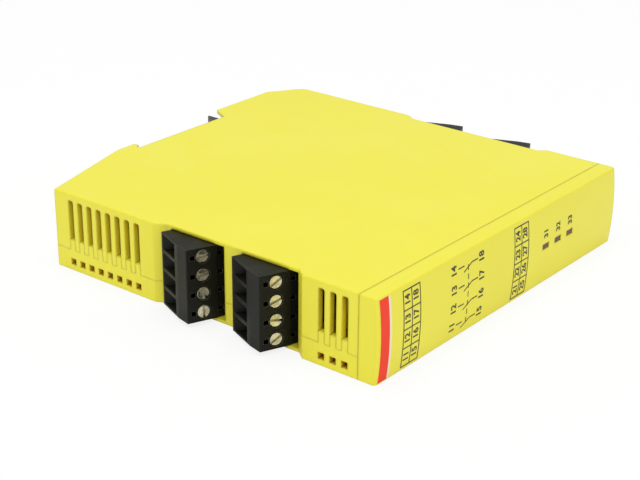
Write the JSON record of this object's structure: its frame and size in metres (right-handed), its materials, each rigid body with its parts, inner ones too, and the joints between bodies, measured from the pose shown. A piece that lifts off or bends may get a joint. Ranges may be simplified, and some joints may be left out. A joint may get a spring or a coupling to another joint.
{
  "type": "safety relay",
  "caption": "Slim rail-mounted safety relay in a yellow vented housing, with pluggable black screw terminals, status windows and a sprung rail latch.",
  "frame": {"origin": "centre line of the rail seat, in the side face that the module lies on", "axes": "+X from the rail seat to the label face, Y along the 112 mm body with the two rail hooks, +Z across the 22.5 mm module width"},
  "size_m": [0.121, 0.122, 0.0225],
  "materials": {
    "yellow_housing": "fine satin moulding, saturated yellow",
    "black_terminal": "black polyamide, faint sheen",
    "black_latch": "dark grey polyamide",
    "spring_steel": "bright strip",
    "screw_nickel": "nickel-plated, slightly warm",
    "cage_zinc": "zinc-plated steel",
    "tin_contact": "tinned brass",
    "board_laminate": "brown-gold laminate",
    "relay_cover": "amber relay cover",
    "capacitor_sleeve": "dark sleeve",
    "ferrite": "ferrite",
    "smoked_guide": "brown tinted clear plastic",
    "lamp_body": "white lamp body"
  },
  "bodies": {
    "module": {"lower_shell": "yellow_housing", "upper_shell": "yellow_housing", "front_cap": "yellow_housing", "latch_spring": "spring_steel", "circuit_board": "board_laminate", "capacitors": "capacitor_sleeve", "choke": "ferrite", "light_guides": "smoked_guide", "indicator_lamps": "lamp_body", "relay_1": "relay_cover", "relay_2": "relay_cover", "header_pins_top": "tin_contact", "header_pins_bottom": "tin_contact", "header_socket_top_rear": "black_terminal", "header_socket_top_front": "black_terminal", "header_socket_bottom_rear": "black_terminal", "header_socket_bottom_front": "black_terminal"},
    "rail_latch": {"rail_latch": "black_latch"},
    "plug_top_rear": {"terminal_plug_top_rear": "black_terminal", "contact_strips_top_rear": "tin_contact"},
    "screw_top_rear_1": {"clamp_screw_top_rear_1": "screw_nickel"},
    "cage_top_rear_1": {"clamp_cage_top_rear_1": "cage_zinc"},
    "screw_top_rear_2": {"clamp_screw_top_rear_2": "screw_nickel"},
    "cage_top_rear_2": {"clamp_cage_top_rear_2": "cage_zinc"},
    "screw_top_rear_3": {"clamp_screw_top_rear_3": "screw_nickel"},
    "cage_top_rear_3": {"clamp_cage_top_rear_3": "cage_zinc"},
    "screw_top_rear_4": {"clamp_screw_top_rear_4": "screw_nickel"},
    "cage_top_rear_4": {"clamp_cage_top_rear_4": "cage_zinc"},
    "plug_top_front": {"terminal_plug_top_front": "black_terminal", "contact_strips_top_front": "tin_contact"},
    "screw_top_front_1": {"clamp_screw_top_front_1": "screw_nickel"},
    "cage_top_front_1": {"clamp_cage_top_front_1": "cage_zinc"},
    "screw_top_front_2": {"clamp_screw_top_front_2": "screw_nickel"},
    "cage_top_front_2": {"clamp_cage_top_front_2": "cage_zinc"},
    "screw_top_front_3": {"clamp_screw_top_front_3": "screw_nickel"},
    "cage_top_front_3": {"clamp_cage_top_front_3": "cage_zinc"},
    "screw_top_front_4": {"clamp_screw_top_front_4": "screw_nickel"},
    "cage_top_front_4": {"clamp_cage_top_front_4": "cage_zinc"},
    "plug_bottom_rear": {"terminal_plug_bottom_rear": "black_terminal", "contact_strips_bottom_rear": "tin_contact"},
    "screw_bottom_rear_1": {"clamp_screw_bottom_rear_1": "screw_nickel"},
    "cage_bottom_rear_1": {"clamp_cage_bottom_rear_1": "cage_zinc"},
    "screw_bottom_rear_2": {"clamp_screw_bottom_rear_2": "screw_nickel"},
    "cage_bottom_rear_2": {"clamp_cage_bottom_rear_2": "cage_zinc"},
    "screw_bottom_rear_3": {"clamp_screw_bottom_rear_3": "screw_nickel"},
    "cage_bottom_rear_3": {"clamp_cage_bottom_rear_3": "cage_zinc"},
    "screw_bottom_rear_4": {"clamp_screw_bottom_rear_4": "screw_nickel"},
    "cage_bottom_rear_4": {"clamp_cage_bottom_rear_4": "cage_zinc"},
    "plug_bottom_front": {"terminal_plug_bottom_front": "black_terminal", "contact_strips_bottom_front": "tin_contact"},
    "screw_bottom_front_1": {"clamp_screw_bottom_front_1": "screw_nickel"},
    "cage_bottom_front_1": {"clamp_cage_bottom_front_1": "cage_zinc"},
    "screw_bottom_front_2": {"clamp_screw_bottom_front_2": "screw_nickel"},
    "cage_bottom_front_2": {"clamp_cage_bottom_front_2": "cage_zinc"},
    "screw_bottom_front_3": {"clamp_screw_bottom_front_3": "screw_nickel"},
    "cage_bottom_front_3": {"clamp_cage_bottom_front_3": "cage_zinc"},
    "screw_bottom_front_4": {"clamp_screw_bottom_front_4": "screw_nickel"},
    "cage_bottom_front_4": {"clamp_cage_bottom_front_4": "cage_zinc"}
  },
  "joints": [
    {"name": "rail_latch_slide", "type": "slide", "parent": "module", "child": "rail_latch", "axis": [0, 1, 0], "range_m": [0, 0.003], "stiffness_N_per_m": 2000, "springref_m": -0.003, "deforming": ["latch_spring"]},
    {"name": "plug_pull_top_rear", "type": "slide", "parent": "module", "child": "plug_top_rear", "axis": [-0.3827, -0.9239, 0], "range_m": [0, 0.012]},
    {"name": "screw_turn_top_rear_1", "type": "hinge", "parent": "plug_top_rear", "child": "screw_top_rear_1", "pos_m": [0.06132, -0.05744, 0.00363], "axis": [0.9239, -0.3827, 0], "range_deg": [-1728.5, 0]},
    {"name": "cage_lift_top_rear_1", "type": "slide", "parent": "plug_top_rear", "child": "cage_top_rear_1", "axis": [0.9239, -0.3827, 0], "range_m": [0, 0.0024]},
    {"name": "screw_turn_top_rear_2", "type": "hinge", "parent": "plug_top_rear", "child": "screw_top_rear_2", "pos_m": [0.06132, -0.05744, 0.00871], "axis": [0.9239, -0.3827, 0], "range_deg": [-1728.5, 0]},
    {"name": "cage_lift_top_rear_2", "type": "slide", "parent": "plug_top_rear", "child": "cage_top_rear_2", "axis": [0.9239, -0.3827, 0], "range_m": [0, 0.0024]},
    {"name": "screw_turn_top_rear_3", "type": "hinge", "parent": "plug_top_rear", "child": "screw_top_rear_3", "pos_m": [0.06132, -0.05744, 0.01379], "axis": [0.9239, -0.3827, 0], "range_deg": [-1728.5, 0]},
    {"name": "cage_lift_top_rear_3", "type": "slide", "parent": "plug_top_rear", "child": "cage_top_rear_3", "axis": [0.9239, -0.3827, 0], "range_m": [0, 0.0024]},
    {"name": "screw_turn_top_rear_4", "type": "hinge", "parent": "plug_top_rear", "child": "screw_top_rear_4", "pos_m": [0.06132, -0.05744, 0.01887], "axis": [0.9239, -0.3827, 0], "range_deg": [-1728.5, 0]},
    {"name": "cage_lift_top_rear_4", "type": "slide", "parent": "plug_top_rear", "child": "cage_top_rear_4", "axis": [0.9239, -0.3827, 0], "range_m": [0, 0.0024]},
    {"name": "plug_pull_top_front", "type": "slide", "parent": "module", "child": "plug_top_front", "axis": [-0.3827, -0.9239, 0], "range_m": [0, 0.012]},
    {"name": "screw_turn_top_front_1", "type": "hinge", "parent": "plug_top_front", "child": "screw_top_front_1", "pos_m": [0.08522, -0.05744, 0.00363], "axis": [0.9239, -0.3827, 0], "range_deg": [-1728.5, 0]},
    {"name": "cage_lift_top_front_1", "type": "slide", "parent": "plug_top_front", "child": "cage_top_front_1", "axis": [0.9239, -0.3827, 0], "range_m": [0, 0.0024]},
    {"name": "screw_turn_top_front_2", "type": "hinge", "parent": "plug_top_front", "child": "screw_top_front_2", "pos_m": [0.08522, -0.05744, 0.00871], "axis": [0.9239, -0.3827, 0], "range_deg": [-1728.5, 0]},
    {"name": "cage_lift_top_front_2", "type": "slide", "parent": "plug_top_front", "child": "cage_top_front_2", "axis": [0.9239, -0.3827, 0], "range_m": [0, 0.0024]},
    {"name": "screw_turn_top_front_3", "type": "hinge", "parent": "plug_top_front", "child": "screw_top_front_3", "pos_m": [0.08522, -0.05744, 0.01379], "axis": [0.9239, -0.3827, 0], "range_deg": [-1728.5, 0]},
    {"name": "cage_lift_top_front_3", "type": "slide", "parent": "plug_top_front", "child": "cage_top_front_3", "axis": [0.9239, -0.3827, 0], "range_m": [0, 0.0024]},
    {"name": "screw_turn_top_front_4", "type": "hinge", "parent": "plug_top_front", "child": "screw_top_front_4", "pos_m": [0.08522, -0.05744, 0.01887], "axis": [0.9239, -0.3827, 0], "range_deg": [-1728.5, 0]},
    {"name": "cage_lift_top_front_4", "type": "slide", "parent": "plug_top_front", "child": "cage_top_front_4", "axis": [0.9239, -0.3827, 0], "range_m": [0, 0.0024]},
    {"name": "plug_pull_bottom_rear", "type": "slide", "parent": "module", "child": "plug_bottom_rear", "axis": [-0.3827, 0.9239, 0], "range_m": [0, 0.012]},
    {"name": "screw_turn_bottom_rear_1", "type": "hinge", "parent": "plug_bottom_rear", "child": "screw_bottom_rear_1", "pos_m": [0.06132, 0.05644, 0.00363], "axis": [0.9239, 0.3827, 0], "range_deg": [-1728.5, 0]},
    {"name": "cage_lift_bottom_rear_1", "type": "slide", "parent": "plug_bottom_rear", "child": "cage_bottom_rear_1", "axis": [0.9239, 0.3827, 0], "range_m": [0, 0.0024]},
    {"name": "screw_turn_bottom_rear_2", "type": "hinge", "parent": "plug_bottom_rear", "child": "screw_bottom_rear_2", "pos_m": [0.06132, 0.05644, 0.00871], "axis": [0.9239, 0.3827, 0], "range_deg": [-1728.5, 0]},
    {"name": "cage_lift_bottom_rear_2", "type": "slide", "parent": "plug_bottom_rear", "child": "cage_bottom_rear_2", "axis": [0.9239, 0.3827, 0], "range_m": [0, 0.0024]},
    {"name": "screw_turn_bottom_rear_3", "type": "hinge", "parent": "plug_bottom_rear", "child": "screw_bottom_rear_3", "pos_m": [0.06132, 0.05644, 0.01379], "axis": [0.9239, 0.3827, 0], "range_deg": [-1728.5, 0]},
    {"name": "cage_lift_bottom_rear_3", "type": "slide", "parent": "plug_bottom_rear", "child": "cage_bottom_rear_3", "axis": [0.9239, 0.3827, 0], "range_m": [0, 0.0024]},
    {"name": "screw_turn_bottom_rear_4", "type": "hinge", "parent": "plug_bottom_rear", "child": "screw_bottom_rear_4", "pos_m": [0.06132, 0.05644, 0.01887], "axis": [0.9239, 0.3827, 0], "range_deg": [-1728.5, 0]},
    {"name": "cage_lift_bottom_rear_4", "type": "slide", "parent": "plug_bottom_rear", "child": "cage_bottom_rear_4", "axis": [0.9239, 0.3827, 0], "range_m": [0, 0.0024]},
    {"name": "plug_pull_bottom_front", "type": "slide", "parent": "module", "child": "plug_bottom_front", "axis": [-0.3827, 0.9239, 0], "range_m": [0, 0.012]},
    {"name": "screw_turn_bottom_front_1", "type": "hinge", "parent": "plug_bottom_front", "child": "screw_bottom_front_1", "pos_m": [0.08522, 0.05644, 0.00363], "axis": [0.9239, 0.3827, 0], "range_deg": [-1728.5, 0]},
    {"name": "cage_lift_bottom_front_1", "type": "slide", "parent": "plug_bottom_front", "child": "cage_bottom_front_1", "axis": [0.9239, 0.3827, 0], "range_m": [0, 0.0024]},
    {"name": "screw_turn_bottom_front_2", "type": "hinge", "parent": "plug_bottom_front", "child": "screw_bottom_front_2", "pos_m": [0.08522, 0.05644, 0.00871], "axis": [0.9239, 0.3827, 0], "range_deg": [-1728.5, 0]},
    {"name": "cage_lift_bottom_front_2", "type": "slide", "parent": "plug_bottom_front", "child": "cage_bottom_front_2", "axis": [0.9239, 0.3827, 0], "range_m": [0, 0.0024]},
    {"name": "screw_turn_bottom_front_3", "type": "hinge", "parent": "plug_bottom_front", "child": "screw_bottom_front_3", "pos_m": [0.08522, 0.05644, 0.01379], "axis": [0.9239, 0.3827, 0], "range_deg": [-1728.5, 0]},
    {"name": "cage_lift_bottom_front_3", "type": "slide", "parent": "plug_bottom_front", "child": "cage_bottom_front_3", "axis": [0.9239, 0.3827, 0], "range_m": [0, 0.0024]},
    {"name": "screw_turn_bottom_front_4", "type": "hinge", "parent": "plug_bottom_front", "child": "screw_bottom_front_4", "pos_m": [0.08522, 0.05644, 0.01887], "axis": [0.9239, 0.3827, 0], "range_deg": [-1728.5, 0]},
    {"name": "cage_lift_bottom_front_4", "type": "slide", "parent": "plug_bottom_front", "child": "cage_bottom_front_4", "axis": [0.9239, 0.3827, 0], "range_m": [0, 0.0024]}
  ],
  "couplings": [
    {"joint": "screw_turn_top_rear_1", "follows": "cage_lift_top_rear_1", "rad_per_m": -12566},
    {"joint": "screw_turn_top_rear_2", "follows": "cage_lift_top_rear_2", "rad_per_m": -12566},
    {"joint": "screw_turn_top_rear_3", "follows": "cage_lift_top_rear_3", "rad_per_m": -12566},
    {"joint": "screw_turn_top_rear_4", "follows": "cage_lift_top_rear_4", "rad_per_m": -12566},
    {"joint": "screw_turn_top_front_1", "follows": "cage_lift_top_front_1", "rad_per_m": -12566},
    {"joint": "screw_turn_top_front_2", "follows": "cage_lift_top_front_2", "rad_per_m": -12566},
    {"joint": "screw_turn_top_front_3", "follows": "cage_lift_top_front_3", "rad_per_m": -12566},
    {"joint": "screw_turn_top_front_4", "follows": "cage_lift_top_front_4", "rad_per_m": -12566},
    {"joint": "screw_turn_bottom_rear_1", "follows": "cage_lift_bottom_rear_1", "rad_per_m": -12566},
    {"joint": "screw_turn_bottom_rear_2", "follows": "cage_lift_bottom_rear_2", "rad_per_m": -12566},
    {"joint": "screw_turn_bottom_rear_3", "follows": "cage_lift_bottom_rear_3", "rad_per_m": -12566},
    {"joint": "screw_turn_bottom_rear_4", "follows": "cage_lift_bottom_rear_4", "rad_per_m": -12566},
    {"joint": "screw_turn_bottom_front_1", "follows": "cage_lift_bottom_front_1", "rad_per_m": -12566},
    {"joint": "screw_turn_bottom_front_2", "follows": "cage_lift_bottom_front_2", "rad_per_m": -12566},
    {"joint": "screw_turn_bottom_front_3", "follows": "cage_lift_bottom_front_3", "rad_per_m": -12566},
    {"joint": "screw_turn_bottom_front_4", "follows": "cage_lift_bottom_front_4", "rad_per_m": -12566}
  ]
}
